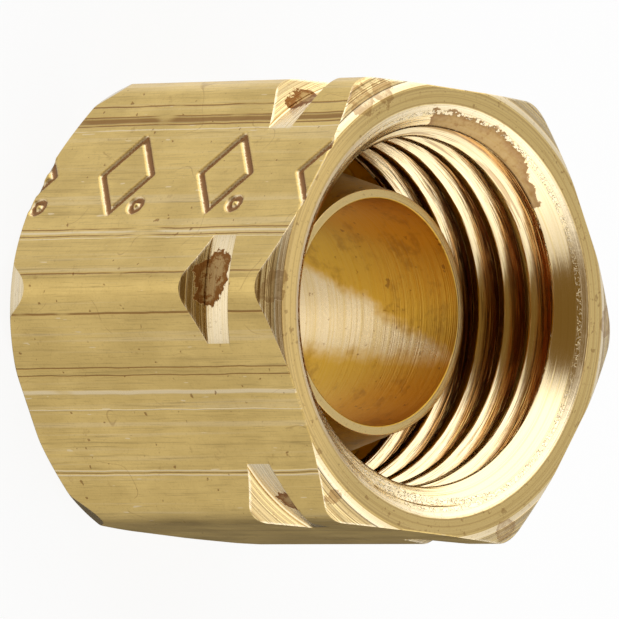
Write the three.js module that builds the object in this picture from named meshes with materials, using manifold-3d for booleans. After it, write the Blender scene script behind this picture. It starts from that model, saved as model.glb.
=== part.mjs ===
// A brass compression nut for quarter-inch tube, with the sleeve that stays captive inside it.
// Millimetres, +Z up. The origin is the centre of the nut's back face, the axis is +Z, and the
// threaded mouth faces up. Two corners of the hexagon lie on the X axis and two flats face Y.
//
// Radii follow from the tube outwards: tube, sleeve, body's nose, thread, nut wall. Heights inside
// the nut follow from the back face upwards, and the length of the thread is what is left.

import * as THREE from "three";
import { mergeVertices } from "three/addons/utils/BufferGeometryUtils.js";
import Module from "manifold-3d";

const INCH = 25.4;

// Hexagon.
const NUT_LENGTH = 11.1;
const NUT_WALL = INCH / 32; // thread root to flat
const CORNER_RADIUS = 1.0;
const FACE_RIM = 0.06; // rim circle of each end face outside the flats

// Corner chamfers. Slopes are in degrees from the face.
const FRONT_CHAMFER_SLOPE = 27;
const BACK_BREAK_HEIGHT = 0.53;
const BACK_BREAK_SLOPE = 45;
const BACK_TAPER_SLOPE = 73;

// Marking groove round the corners.
const GROOVE_SETBACK = 2.46; // front face to the middle of the groove's floor
const GROOVE_FLOOR_WIDTH = 0.86;
const GROOVE_FLOOR_RISE = 0.25; // groove floor outside the flats
const GROOVE_SIDE_SLOPE = 45;

// Mouth and thread. Slopes are in degrees from the face.
const FACE_WIDTH = 0.45; // flat ring of the front face, at the middle of a flat
const MOUTH_STEP_DEPTH = 0.2; // shallow outer countersink
const MOUTH_STEP_WIDTH = 0.33;
const THREAD_START_SLOPE = 41; // countersink into the thread
const THREAD_PITCH = INCH / 24;
const THREAD_FLANK_ANGLE = 30; // degrees, each flank from the plane across the axis
const THREAD_START_ANGLE = -60; // degrees from +X, where the thread runs into the relief groove
const BODY_NOSE_SPACE = 0.8384; // sleeve's barrel to the thread's crest
const RELIEF_WIDTH = 1.3;
const RELIEF_CLEARANCE = 0.15; // relief groove wall outside the thread's root
const CUTTER_INSET = 0.1; // reach of the thread cutter inside the thread's crest

// Back wall of the nut.
const COUNTERBORE_CLEARANCE = 0.3; // round the sleeve's lip
const BACK_BORE_LENGTH = 1.3;
const SEAT_SLOPE = 45; // degrees from the axis, on the sleeve and in the nut
const SEAT_MARGIN = 0.6; // mouth of the seat outside the sleeve's barrel

// Captive sleeve.
const TUBE_DIAMETER = INCH / 4;
const TUBE_CLEARANCE = 0.07; // radial, tube in sleeve
const TAIL_CLEARANCE = 0.1; // radial, sleeve's tail in the nut's back bore
const SEAT_CLEARANCE = 0.3; // square to the seat
const END_FLOAT = 0.3; // lip to its shoulder
const SLEEVE_TIP_DEPTH = 2.69; // front face to the sleeve's tip
const SLEEVE_TIP_WALL = 0.27;
const SLEEVE_BARREL_WALL = 0.9;
const SLEEVE_TAIL_WALL = 0.38;
const SLEEVE_NOSE_SLOPE = 15; // degrees from the axis
const SLEEVE_LEAD_IN = 0.25; // chamfer where the tube enters
const LIP_HEIGHT = 0.45;
const LIP_REACH = 0.4; // lip past the wall of the nut's back bore
const LIP_SETBACK = 0.35; // lip's back end inside the nut's back face

const TURN_SEGMENTS = 48;
const CORNER_SEGMENTS = 6;
const MERGE_DISTANCE = 1e-5;

const NUT_FINISH = { color: 0xc2a566, roughness: 0.38, metalness: 1 };
const SLEEVE_FINISH = { color: 0xcfb27a, roughness: 0.32, metalness: 1 };

const wasm = await Module();
wasm.setup();

const tanDegrees = (angle) => Math.tan(THREE.MathUtils.degToRad(angle));
const sinDegrees = (angle) => Math.sin(THREE.MathUtils.degToRad(angle));

// Radii, from the tube outwards.
const sleeveBore = TUBE_DIAMETER / 2 + TUBE_CLEARANCE;
const sleeveTail = sleeveBore + SLEEVE_TAIL_WALL;
const sleeveBarrel = sleeveBore + SLEEVE_BARREL_WALL;
const backBore = sleeveTail + TAIL_CLEARANCE;
const lipRadius = backBore + LIP_REACH;
const counterbore = lipRadius + COUNTERBORE_CLEARANCE;
const seatMouth = sleeveBarrel + SEAT_MARGIN;
const threadHeight = THREAD_PITCH * (5 / 16) / tanDegrees(THREAD_FLANK_ANGLE);
const threadCrest = sleeveBarrel + BODY_NOSE_SPACE;
const threadRoot = threadCrest + threadHeight;
const reliefRadius = threadRoot + RELIEF_CLEARANCE;
const flatRadius = threadRoot + NUT_WALL;
const rimRadius = flatRadius + FACE_RIM;
const cornerCentre = (flatRadius - CORNER_RADIUS) * 2 / Math.sqrt(3);
const envelopeRadius = cornerCentre + 2 * CORNER_RADIUS; // clear of the corners

// Heights, from the back face upwards.
const shoulderHeight = LIP_SETBACK + LIP_HEIGHT + END_FLOAT;
const seatFoot = shoulderHeight + BACK_BORE_LENGTH;
const reliefFloor = seatFoot + (seatMouth - backBore) / tanDegrees(SEAT_SLOPE);
const threadEnd = reliefFloor + RELIEF_WIDTH;

// A closed geometry as a solid that can be joined and cut.
function solid(geometry) {
  const bare = geometry.clone();
  bare.deleteAttribute("normal");
  bare.deleteAttribute("uv");
  const merged = mergeVertices(bare, MERGE_DISTANCE);
  const vertProperties = merged.attributes.position.array;
  const triVerts = new Uint32Array(merged.index.array);
  return new wasm.Manifold(new wasm.Mesh({ numProp: 3, vertProperties, triVerts }));
}

// A named mesh from a solid, with its colour and finish.
function part(name, shape, finish) {
  const { vertProperties, triVerts } = shape.getMesh();
  const geometry = new THREE.BufferGeometry();
  geometry.setAttribute("position", new THREE.BufferAttribute(vertProperties, 3));
  geometry.setIndex(new THREE.BufferAttribute(triVerts, 1));
  geometry.computeVertexNormals();
  const mesh = new THREE.Mesh(geometry, new THREE.MeshStandardMaterial(finish));
  mesh.name = name;
  return mesh;
}

// A ring turned about Z from a closed outline of [radius, height] points, which runs round the
// section with the material on its left.
function turned(outline) {
  const points = [...outline, outline[0]].map(([radius, height]) => new THREE.Vector2(radius, height));
  return solid(new THREE.LatheGeometry(points, TURN_SEGMENTS).rotateX(Math.PI / 2));
}

// The hexagonal bar that the nut is cut from, its corners rounded.
function hexBar() {
  const shape = new THREE.Shape();
  for (let corner = 0; corner < 6; corner += 1) {
    const angle = corner * Math.PI / 3;
    const [x, y] = [cornerCentre * Math.cos(angle), cornerCentre * Math.sin(angle)];
    shape.absarc(x, y, CORNER_RADIUS, angle - Math.PI / 6, angle + Math.PI / 6, false);
  }
  const options = { depth: NUT_LENGTH, bevelEnabled: false, curveSegments: CORNER_SEGMENTS };
  return solid(new THREE.ExtrudeGeometry(shape, options));
}

// Outside of the nut's turned outline, from the back face up to the front face.
function nutOutside() {
  const breakRadius = rimRadius + BACK_BREAK_HEIGHT / tanDegrees(BACK_BREAK_SLOPE);
  const grooveMiddle = NUT_LENGTH - GROOVE_SETBACK;
  const grooveFloor = flatRadius + GROOVE_FLOOR_RISE;
  const grooveHalf = GROOVE_FLOOR_WIDTH / 2;
  const grooveSide = (envelopeRadius - grooveFloor) * tanDegrees(GROOVE_SIDE_SLOPE);
  return [
    [rimRadius, 0],
    [breakRadius, BACK_BREAK_HEIGHT],
    [envelopeRadius, BACK_BREAK_HEIGHT + (envelopeRadius - breakRadius) * tanDegrees(BACK_TAPER_SLOPE)],
    [envelopeRadius, grooveMiddle - grooveHalf - grooveSide],
    [grooveFloor, grooveMiddle - grooveHalf],
    [grooveFloor, grooveMiddle + grooveHalf],
    [envelopeRadius, grooveMiddle + grooveHalf + grooveSide],
    [envelopeRadius, NUT_LENGTH - (envelopeRadius - rimRadius) * tanDegrees(FRONT_CHAMFER_SLOPE)],
    [rimRadius, NUT_LENGTH],
  ];
}

// Inside of the nut's turned outline, from the front face down to the back face.
function nutInside() {
  const mouth = flatRadius - FACE_WIDTH;
  const step = mouth - MOUTH_STEP_WIDTH;
  const stepHeight = NUT_LENGTH - MOUTH_STEP_DEPTH;
  return [
    [mouth, NUT_LENGTH],
    [step, stepHeight],
    [threadCrest, stepHeight - (step - threadCrest) * tanDegrees(THREAD_START_SLOPE)],
    [threadCrest, threadEnd],
    [reliefRadius, threadEnd],
    [reliefRadius, reliefFloor],
    [seatMouth, reliefFloor],
    [backBore, seatFoot],
    [backBore, shoulderHeight],
    [counterbore, shoulderHeight],
    [counterbore, 0],
  ];
}

// The helical tool that cuts the thread, from the relief groove up to clear of the front face.
function threadCutter() {
  const inner = threadCrest - CUTTER_INSET;
  const rootHalf = THREAD_PITCH / 16;
  const innerHalf = rootHalf + (threadRoot - inner) * tanDegrees(THREAD_FLANK_ANGLE);
  const section = [[inner, -innerHalf], [threadRoot, -rootHalf], [threadRoot, rootHalf], [inner, innerHalf]];
  const corners = section.length;
  const bottom = reliefFloor + RELIEF_WIDTH / 2;
  const steps = Math.ceil((NUT_LENGTH + THREAD_PITCH - bottom) / THREAD_PITCH * TURN_SEGMENTS);
  const positions = [];
  const faces = [];
  for (let step = 0; step <= steps; step += 1) {
    const angle = THREE.MathUtils.degToRad(THREAD_START_ANGLE) + step * 2 * Math.PI / TURN_SEGMENTS;
    const height = bottom + step * THREAD_PITCH / TURN_SEGMENTS;
    for (const [radius, offset] of section) {
      positions.push(radius * Math.cos(angle), radius * Math.sin(angle), height + offset);
    }
    if (step === steps) break;
    for (let corner = 0; corner < corners; corner += 1) {
      const [a, b] = [step * corners + corner, step * corners + (corner + 1) % corners];
      faces.push(a, b + corners, b, a, a + corners, b + corners);
    }
  }
  const last = steps * corners;
  faces.push(0, 1, 2, 0, 2, 3, last, last + 2, last + 1, last, last + 3, last + 2);
  const geometry = new THREE.BufferGeometry();
  geometry.setAttribute("position", new THREE.Float32BufferAttribute(positions, 3));
  geometry.setIndex(faces);
  return solid(geometry);
}

function nut() {
  const blank = hexBar().intersect(turned([...nutOutside(), ...nutInside()]));
  return part("nut", blank.subtract(threadCutter()), NUT_FINISH);
}

// The sleeve, turned in its own frame with its back end at height 0.
function captiveSleeve() {
  const length = NUT_LENGTH - SLEEVE_TIP_DEPTH - LIP_SETBACK;
  const tipRadius = sleeveBore + SLEEVE_TIP_WALL;
  const noseFoot = length - (sleeveBarrel - tipRadius) / tanDegrees(SLEEVE_NOSE_SLOPE);
  const seatRise = SEAT_CLEARANCE / sinDegrees(SEAT_SLOPE) - LIP_SETBACK;
  const seatAt = (radius) => seatFoot + (radius - backBore) / tanDegrees(SEAT_SLOPE) + seatRise;
  const outline = [
    [sleeveBore + SLEEVE_LEAD_IN, 0],
    [lipRadius, 0],
    [lipRadius, LIP_HEIGHT],
    [sleeveTail, LIP_HEIGHT],
    [sleeveTail, seatAt(sleeveTail)],
    [sleeveBarrel, seatAt(sleeveBarrel)],
    [sleeveBarrel, noseFoot],
    [tipRadius, length],
    [sleeveBore, length],
    [sleeveBore, SLEEVE_LEAD_IN],
  ];
  const sleeve = part("captive_sleeve", turned(outline), SLEEVE_FINISH);
  sleeve.position.z = LIP_SETBACK;
  return sleeve;
}

const fitting = new THREE.Group();
fitting.add(nut(), captiveSleeve());

export default fitting;
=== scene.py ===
"""Looks for a brass compression nut with a captive sleeve, laid out as a Blender add-on.

Metres, +Z along the nut's axis out of its threaded mouth. The origin is the centre of its back face.
"""

import math
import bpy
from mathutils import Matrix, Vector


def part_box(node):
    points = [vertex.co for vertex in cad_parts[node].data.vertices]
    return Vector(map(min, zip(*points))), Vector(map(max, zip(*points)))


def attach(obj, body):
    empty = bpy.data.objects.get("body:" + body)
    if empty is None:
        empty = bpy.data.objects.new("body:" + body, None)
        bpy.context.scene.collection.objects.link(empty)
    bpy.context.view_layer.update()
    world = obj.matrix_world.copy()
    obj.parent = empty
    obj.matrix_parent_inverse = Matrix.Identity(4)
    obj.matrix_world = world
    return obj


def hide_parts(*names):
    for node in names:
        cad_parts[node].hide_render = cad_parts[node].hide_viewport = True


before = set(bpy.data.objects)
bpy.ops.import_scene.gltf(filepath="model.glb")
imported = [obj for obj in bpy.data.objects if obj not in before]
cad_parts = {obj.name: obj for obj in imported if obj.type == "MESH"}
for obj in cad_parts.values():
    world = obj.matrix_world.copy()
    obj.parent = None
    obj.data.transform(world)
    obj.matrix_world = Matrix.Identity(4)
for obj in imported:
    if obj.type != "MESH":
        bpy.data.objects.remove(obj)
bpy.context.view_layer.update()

from types import SimpleNamespace

import bmesh
import bpy
from mathutils import Matrix, Vector
from mathutils.geometry import delaunay_2d_cdt
from mathutils.kdtree import KDTree

bl_info = {
    "name": "Compression nut with captive sleeve",
    "version": (1, 0, 0),
    "blender": (4, 5, 0),
    "location": "View3D > Sidebar > Fitting",
    "description": "Makes a hexagonal brass tube nut, its captive sleeve and a plain studio",
    "category": "Add Mesh",
}

MM = 0.001
NUT_LOW, NUT_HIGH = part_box("nut")
SLEEVE_LOW, SLEEVE_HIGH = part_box("captive_sleeve")


# ---------------------------------------------------------------------------------------------
# Arithmetic on node sockets
# ---------------------------------------------------------------------------------------------

class Term:
    """A node socket that Python arithmetic extends with Math and Vector Math nodes."""

    def __init__(self, graph, socket):
        self.graph = graph
        self.socket = socket

    def __add__(self, other):
        return self.graph.calc("ADD", self, other)

    def __radd__(self, other):
        return self.graph.calc("ADD", other, self)

    def __sub__(self, other):
        return self.graph.calc("SUBTRACT", self, other)

    def __rsub__(self, other):
        return self.graph.calc("SUBTRACT", other, self)

    def __mul__(self, other):
        return self.graph.calc("MULTIPLY", self, other)

    def __rmul__(self, other):
        return self.graph.calc("MULTIPLY", other, self)

    def __truediv__(self, other):
        return self.graph.calc("DIVIDE", self, other)

    def __pow__(self, other):
        return self.graph.calc("POWER", self, other)

    def __neg__(self):
        return self.graph.calc("MULTIPLY", self, -1.0)

    def __gt__(self, other):
        return self.graph.calc("GREATER_THAN", self, other)

    def __lt__(self, other):
        return self.graph.calc("LESS_THAN", self, other)


class Graph:
    """A node tree that nodes are added to by type, settings and inputs."""

    def __init__(self, tree):
        self.tree = tree

    def add(self, kind, settings=None, inputs=None):
        """A new node, with its settings made first and its inputs then set or linked."""
        node = self.tree.nodes.new(kind)
        for name, value in (settings or {}).items():
            setattr(node, name, value)
        for key, value in (inputs or {}).items():
            self.feed(node.inputs[key], value)
        return node

    def feed(self, socket, value):
        """Links a term to a socket, or each of a list of terms, or sets the socket's own value."""
        if isinstance(value, list):
            for item in value:
                self.feed(socket, item)
        elif isinstance(value, Term):
            self.tree.links.new(value.socket, socket)
        else:
            socket.default_value = value

    def term(self, kind, settings=None, inputs=None, output=0):
        """A new node's output as a term."""
        return Term(self, self.add(kind, settings, inputs).outputs[output])

    def calc(self, operation, *values):
        """One Math node, or one Vector Math node where a value is a vector."""
        vectors = [isinstance(v, Term) and v.socket.type == "VECTOR" for v in values]
        if not any(vectors):
            return self.term("ShaderNodeMath", {"operation": operation}, dict(enumerate(values)))
        scaled = not all(vectors) and not any(isinstance(v, tuple) for v in values)
        if operation == "MULTIPLY" and scaled:
            vector, scalar = values if vectors[0] else reversed(values)
            return self.term("ShaderNodeVectorMath", {"operation": "SCALE"}, {0: vector, "Scale": scalar})
        return self.term("ShaderNodeVectorMath", {"operation": operation}, dict(enumerate(values)))

    def sine(self, angle):
        return self.calc("SINE", angle)

    def cosine(self, angle):
        return self.calc("COSINE", angle)

    def tangent(self, angle):
        return self.calc("TANGENT", angle)

    def root(self, value):
        return self.calc("SQRT", value)

    def size(self, value):
        return self.calc("ABSOLUTE", value)

    def least(self, first, second):
        return self.calc("MINIMUM", first, second)

    def most(self, first, *others):
        for other in others:
            first = self.calc("MAXIMUM", first, other)
        return first

    def wrap(self, value, period):
        """The remainder of a value, from 0 to period."""
        return self.calc("FLOORED_MODULO", value, period)

    def pick(self, choice, yes, no):
        """yes where choice is 1, and no where it is 0."""
        return no + choice * (yes - no)

    def length(self, vector):
        settings = {"operation": "LENGTH"}
        return self.term("ShaderNodeVectorMath", settings, {0: vector}, output="Value")

    def dot(self, first, second):
        settings = {"operation": "DOT_PRODUCT"}
        return self.term("ShaderNodeVectorMath", settings, {0: first, 1: second}, output="Value")

    def ramp(self, value, low, high):
        """A smooth step from 0 at low to 1 at high."""
        settings = {"interpolation_type": "SMOOTHSTEP"}
        return self.term("ShaderNodeMapRange", settings, {"Value": value, "From Min": low, "From Max": high})

    def xyz(self, x, y, z):
        return self.term("ShaderNodeCombineXYZ", None, {0: x, 1: y, 2: z})

    def axes(self, vector):
        """The three parts of a vector."""
        node = self.add("ShaderNodeSeparateXYZ", None, {0: vector})
        return [Term(self, output) for output in node.outputs]

    def blend(self, factor, first, second):
        """A colour from first at factor 0 to second at 1."""
        inputs = {0: factor, 6: solid(first), 7: solid(second)}
        return self.term("ShaderNodeMix", {"data_type": "RGBA"}, inputs, output=2)

    def layers(self, base, covers):
        """A base colour with the colours of (factor, colour) pairs laid over it in turn."""
        for factor, over in covers:
            base = self.blend(factor, base, over)
        return base

    def noise(self, vector, scale, detail=3.0, roughness=0.5):
        """Smooth noise from about 0.2 to 0.8."""
        inputs = {"Vector": vector, "Scale": scale, "Detail": detail, "Roughness": roughness}
        return self.term("ShaderNodeTexNoise", None, inputs)


def solid(shade):
    """Red, green and blue as an opaque colour. A term stays as it is."""
    return shade if isinstance(shade, Term) else (*shade, 1.0)


# ---------------------------------------------------------------------------------------------
# Sizes and colours
# ---------------------------------------------------------------------------------------------

def length_size(label, description, millimetres):
    """A length that a user may change, in metres."""
    return bpy.props.FloatProperty(
        name=label, description=description, default=millimetres * MM, unit="LENGTH", precision=5)


def slope_size(label, description, degrees):
    """An angle that a user may change."""
    return bpy.props.FloatProperty(
        name=label, description=description, default=math.radians(degrees), subtype="ANGLE")


def share_size(label, description, share):
    """A plain number that a user may change."""
    return bpy.props.FloatProperty(name=label, description=description, default=share)


def paint(label, description, rgb):
    """A colour that a user may change, as linear red, green and blue."""
    return bpy.props.FloatVectorProperty(
        name=label, description=description, default=rgb, size=3, subtype="COLOR", min=0.0, max=1.0)


class NutOutsideSizes(bpy.types.PropertyGroup):
    """Chamfers and groove of the hexagon. Slopes are from the end face."""

    face_rim: length_size("Face rim", "Rim circle of each end face, outside the flats", 0.06)
    front_slope: slope_size("Front chamfer", "Slope of the chamfer round the mouth", 27)
    break_height: length_size("Back break height", "Height of the steep-edged back chamfer", 0.53)
    break_slope: slope_size("Back break", "Slope of the back chamfer", 45)
    taper_slope: slope_size("Back taper", "Slope of the long taper above the back chamfer", 73)
    groove_setback: length_size("Groove setback", "Front face to the middle of the groove", 2.46)
    groove_width: length_size("Groove width", "Width of the groove's floor", 0.86)
    groove_rise: length_size("Groove rise", "Groove floor outside the flats", 0.25)
    groove_slope: slope_size("Groove sides", "Slope of the groove's sides", 45)
    edge_round: length_size("Edge round", "Rounding of the end faces' edges", 0.045)
    crease_round: length_size("Crease round", "Softness of the creases between turned and drawn", 0.03)


class NutInsideSizes(bpy.types.PropertyGroup):
    """Mouth, thread and back wall of the nut."""

    face_width: length_size("Face width", "Ring of the front face at the middle of a flat", 0.45)
    step_depth: length_size("Mouth step depth", "Depth of the shallow outer countersink", 0.2)
    step_width: length_size("Mouth step width", "Width of the shallow outer countersink", 0.33)
    start_slope: slope_size("Thread countersink", "Slope of the countersink into the thread", 41)
    pitch: length_size("Thread pitch", "Height of one turn of the thread", 25.4 / 24)
    start_angle: slope_size("Thread start", "Angle where the thread runs out of its relief", -60)
    crest: length_size("Thread crest", "Radius inside the thread's crests", 4.9834)
    root: length_size("Thread root", "Radius of the thread's roots", 5.5561)
    thread_round: length_size("Thread round", "Rounding of the crests and roots", 0.05)
    relief: length_size("Relief radius", "Radius of the relief groove under the thread", 5.7061)
    relief_width: length_size("Relief width", "Height of the relief groove", 1.3)
    relief_floor: length_size("Relief floor", "Back face to the relief groove's floor", 3.42)
    seat_mouth: length_size("Seat mouth", "Radius of the seat's mouth", 4.745)
    back_bore: length_size("Back bore", "Radius of the bore behind the seat", 3.725)
    seat_foot: length_size("Seat foot", "Back face to the foot of the seat", 2.4)
    counterbore: length_size("Counterbore", "Radius of the counterbore in the back face", 4.425)
    shoulder: length_size("Shoulder", "Depth of the counterbore", 1.1)


class SleeveSizes(bpy.types.PropertyGroup):
    """The turned sleeve."""

    bore: length_size("Bore", "Radius of the bore that the tube slides in", 3.245)
    tip_wall: length_size("Tip wall", "Wall at the sleeve's tip", 0.27)
    barrel: length_size("Barrel", "Radius of the barrel", 4.145)
    tail: length_size("Tail", "Radius of the tail in the nut's back bore", 3.625)
    nose_slope: slope_size("Nose", "Slope of the nose from the axis", 15)
    seat_foot: length_size("Seat foot", "Back face to the foot of the sleeve's seat", 2.7243)
    seat_height: length_size("Seat height", "Height of the sleeve's seat", 0.52)
    lip_height: length_size("Lip height", "Height of the rolled lip", 0.45)
    lead_in: length_size("Lead in", "Chamfer where the tube enters", 0.25)
    edge_round: length_size("Edge round", "Rounding of the edges", 0.035)


class MarkSizes(bpy.types.PropertyGroup):
    """The row of lozenges and rings stamped in one flat."""

    pitch: length_size("Pitch", "From one mark to the next", 4.0)
    first: length_size("First", "Height of the first whole mark's middle", 3.35)
    half_width: length_size("Half width", "Half the width of a lozenge", 1.0)
    half_height: length_size("Half height", "Half the height of a lozenge", 1.3)
    middle: length_size("Middle", "Middle of the row from the middle of the flat", 0.3)
    ring: length_size("Ring", "Radius of the small ring beside each lozenge", 0.2)
    stroke: length_size("Stroke", "Half the width of a stroke", 0.125)
    depth: length_size("Depth", "Depth of a stroke", 0.09)


class FinishColours(bpy.types.PropertyGroup):
    """Colours of the brass and of what has marked it, as linear values."""

    drawn: paint("Drawn brass", "Satin brass of the bar's flats", (0.80, 0.575, 0.195))
    drawn_deep: paint("Deep drawn brass", "Darker clouds in the flats", (0.67, 0.47, 0.15))
    turned: paint("Turned brass", "Fresh brass of the turned faces", (0.88, 0.72, 0.44))
    # Bored brass is also the painted shade on the bore's dark side.
    bore: paint("Bored brass", "Brass of the sleeve's bore", (0.66, 0.355, 0.02))
    root: paint("Thread roots", "Red-brown of the thread's roots", (0.62, 0.27, 0.045))
    # Tarnish is also laid in clouds over the bore's painted shade.
    tarnish: paint("Tarnish", "Dark red-brown stain", (0.22, 0.078, 0.012))
    stain: paint("Mouth stain", "Light brown stain round the mouth", (0.37, 0.215, 0.06))
    grime: paint("Grime", "Dark dirt in scratches and strokes", (0.12, 0.06, 0.02))


class StageSettings(bpy.types.PropertyGroup):
    """Floor and light."""

    floor: paint("Floor", "Colour of the floor and the surroundings", (0.99, 0.99, 0.985))
    floor_half: length_size("Floor half width", "Half the width of the floor", 600)
    light: share_size("Light", "Brightness of the light tent", 1.0)


# ---------------------------------------------------------------------------------------------
# Shape trees
# ---------------------------------------------------------------------------------------------

TURNED, OUTSIDE, THREAD = range(3)
DRAWN_FACE, TURNED_FACE, THREAD_FACE, INNER_FACE = range(4)
NUT_COLUMNS = 360
CORNER_CROWDING = 0.78
SLEEVE_COLUMNS = 240
THREAD_SAMPLES = 20
CREASE_STEPS = (0.012 * MM, 0.03 * MM, 0.06 * MM)
ROUND_STEPS = 3
WELD_DISTANCE = 1.5e-6


def row(zone, finish, radius=0.0, height=0.0, line=0, toward=0, reach=0.0):
    """One ring of points of a turned shape, and the finish of the faces up to the next ring."""
    return SimpleNamespace(
        zone=zone, finish=finish, radius=radius, height=height, line=line, toward=toward, reach=reach)


def rounded(corners, radius):
    """An outline of (radius, height, finish) points with its inner corners rounded off."""
    points = [corners[0]]
    for before, corner, after in zip(corners, corners[1:], corners[2:]):
        here = Vector(corner[:2])
        back, ahead = Vector(before[:2]) - here, Vector(after[:2]) - here
        reach = min(radius, back.length * 0.4, ahead.length * 0.4)
        for step in range(ROUND_STEPS + 1):
            share = step / ROUND_STEPS
            pull = back.normalized() * (1 - share) ** 2 + ahead.normalized() * share ** 2
            finish = before[2] if share < 1 else corner[2]
            points.append((*(here + pull * reach), finish))
    return points + [corners[-1]]


def rows_mesh(name, rows):
    """A mesh of one point for each row, which holds the row's numbers as attributes."""
    mesh = bpy.data.meshes.new(name)
    mesh.from_pydata([(item.radius, 0.0, item.height) for item in rows], [], [])
    kinds = {"zone": "INT", "finish": "INT", "line": "INT", "toward": "INT", "reach": "FLOAT"}
    for label, kind in kinds.items():
        numbers = [getattr(item, label) for item in rows]
        mesh.attributes.new(label, kind, "POINT").data.foreach_set("value", numbers)
    return mesh


def shape_tree(name, sizes):
    """A Geometry Nodes tree with a named input for each size."""
    tree = bpy.data.node_groups.new(name, "GeometryNodeTree")
    tree.interface.new_socket("Rows", in_out="INPUT", socket_type="NodeSocketGeometry")
    for label in sizes:
        tree.interface.new_socket(label, in_out="INPUT", socket_type="NodeSocketFloat")
    tree.interface.new_socket("Geometry", in_out="OUTPUT", socket_type="NodeSocketGeometry")
    graph = Graph(tree)
    source = graph.add("NodeGroupInput")
    given = {output.name: Term(graph, output) for output in source.outputs if output.name}
    return graph, given


class Ring:
    """The grid of a ring: its columns go round the axis, and its rows are a rows mesh's points."""

    def __init__(self, graph, rows, columns):
        self.graph = graph
        self.rows = rows
        self.count = graph.term("GeometryNodeAttributeDomainSize", None, {0: rows})
        inputs = {"Vertices X": columns + 1, "Vertices Y": self.count}
        self.grid = graph.term("GeometryNodeMeshGrid", None, inputs)
        index = graph.term("GeometryNodeInputIndex")
        self.column = graph.calc("FLOOR", (index + 0.5) / self.count)
        self.row = index - self.column * self.count + 0.25
        self.face_row = graph.wrap(index + 0.25, self.count - 1)
        self.turn = self.column * (math.tau / columns)

    def named(self, label, kind, at):
        """A row's own number, read at a row."""
        field = self.graph.term("GeometryNodeInputNamedAttribute", {"data_type": kind}, {"Name": label})
        return self.sample(field, kind, at)

    def sample(self, field, kind, at):
        inputs = {"Geometry": self.rows, "Value": field, "Index": at}
        return self.graph.term("GeometryNodeSampleIndex", {"data_type": kind}, inputs)

    def outline(self):
        """The radius and height of this grid point's row."""
        position = self.graph.term("GeometryNodeInputPosition")
        parts = self.graph.axes(self.sample(position, "FLOAT_VECTOR", self.row))
        return parts[0], parts[2]

    def close(self, angle, radius, height, materials, bare=0.0):
        """Bends the grid into the ring, welds it, and gives each face its material."""
        graph = self.graph
        place = graph.xyz(radius * graph.cosine(angle), radius * graph.sine(angle), height)
        shape = graph.term("GeometryNodeSetPosition", None, {"Geometry": self.grid, "Position": place})
        finish = self.named("finish", "INT", self.face_row) * (1 - bare)
        settings = {"data_type": "INT", "domain": "FACE"}
        inputs = {"Geometry": shape, "Name": "finish", "Value": finish}
        shape = graph.term("GeometryNodeStoreNamedAttribute", settings, inputs)
        inputs = {"Geometry": shape, "Distance": WELD_DISTANCE}
        shape = graph.term("GeometryNodeMergeByDistance", None, inputs)
        shape = graph.term("GeometryNodeRealizeInstances", None, {"Geometry": shape})
        kept = graph.term("GeometryNodeInputNamedAttribute", {"data_type": "INT"}, {"Name": "finish"})
        for number, material in materials.items():
            chosen = graph.term(
                "FunctionNodeCompare", {"data_type": "INT", "operation": "EQUAL"}, {2: kept, 3: number})
            inputs = {"Geometry": shape, "Selection": chosen, "Material": material}
            shape = graph.term("GeometryNodeSetMaterial", None, inputs)
        graph.add("NodeGroupOutput", None, {"Geometry": shape})


def grown(name, graph, start, sizes):
    """The plain mesh that a shape tree makes from a rows mesh."""
    seed = bpy.data.objects.new(name + "_rows", start)
    bpy.context.scene.collection.objects.link(seed)
    modifier = seed.modifiers.new("Shape", "NODES")
    modifier.node_group = graph.tree
    for item in graph.tree.interface.items_tree:
        if item.in_out == "INPUT" and item.name in sizes:
            modifier[item.identifier] = sizes[item.name]
    bpy.context.view_layer.update()
    depsgraph = bpy.context.evaluated_depsgraph_get()
    mesh = bpy.data.meshes.new_from_object(seed.evaluated_get(depsgraph), depsgraph=depsgraph)
    mesh.name = name
    seed.modifiers.remove(modifier)
    bpy.data.objects.remove(seed)
    if not mesh.polygons:
        raise RuntimeError(name + " has no faces")
    return mesh


def values_of(group):
    """A property group's numbers by their labels."""
    properties = [p for p in group.bl_rna.properties if p.identifier not in ("rna_type", "name")]
    return {p.name: getattr(group, p.identifier) for p in properties}


# ---------------------------------------------------------------------------------------------
# Nut
# ---------------------------------------------------------------------------------------------

def bar_sizes():
    """The hexagonal bar's own sizes, from the nut's box."""
    flat, reach = NUT_HIGH.y, NUT_HIGH.x
    corner = (reach - flat * 2 / math.sqrt(3)) / (1 - 2 / math.sqrt(3))
    straight = (flat - corner) / math.sqrt(3)
    return {
        "Length": NUT_HIGH.z - NUT_LOW.z,
        "Flat radius": flat,
        "Corner radius": corner,
        "Corner centre": (flat - corner) * 2 / math.sqrt(3),
        "Corner half angle": math.pi / 6 - math.atan(straight / flat),
    }


# Finishes of the outside's bands: front chamfer, bar, the groove's three faces, bar, back chamfers.
OUTSIDE_FINISHES = (TURNED_FACE, DRAWN_FACE, TURNED_FACE, TURNED_FACE, TURNED_FACE, DRAWN_FACE,
                    TURNED_FACE, TURNED_FACE)
GROOVE_TOLERANCE = 0.004 * MM
THREAD_FLANK = math.radians(30)
# Half of the flat in a root, as a share of the pitch.
ROOT_SHARE = 1 / 16
BURR_NEAR, BURR_FAR = 0.02 * MM, 0.12 * MM
BURR_SIZE = 0.09 * MM


def outside_rows():
    """Rows from the front face down the outside to the back face, close together at each crease."""
    rows = []
    for line, finish in enumerate(OUTSIDE_FINISHES):
        below = line + 1
        for reach in (0.0, *CREASE_STEPS):
            rows.append(row(OUTSIDE, finish, line=line, toward=below, reach=reach))
        for reach in reversed(CREASE_STEPS):
            rows.append(row(OUTSIDE, finish, line=below, toward=line, reach=reach))
    last = len(OUTSIDE_FINISHES)
    return rows + [row(OUTSIDE, TURNED_FACE, line=last, toward=last - 1)]


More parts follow.
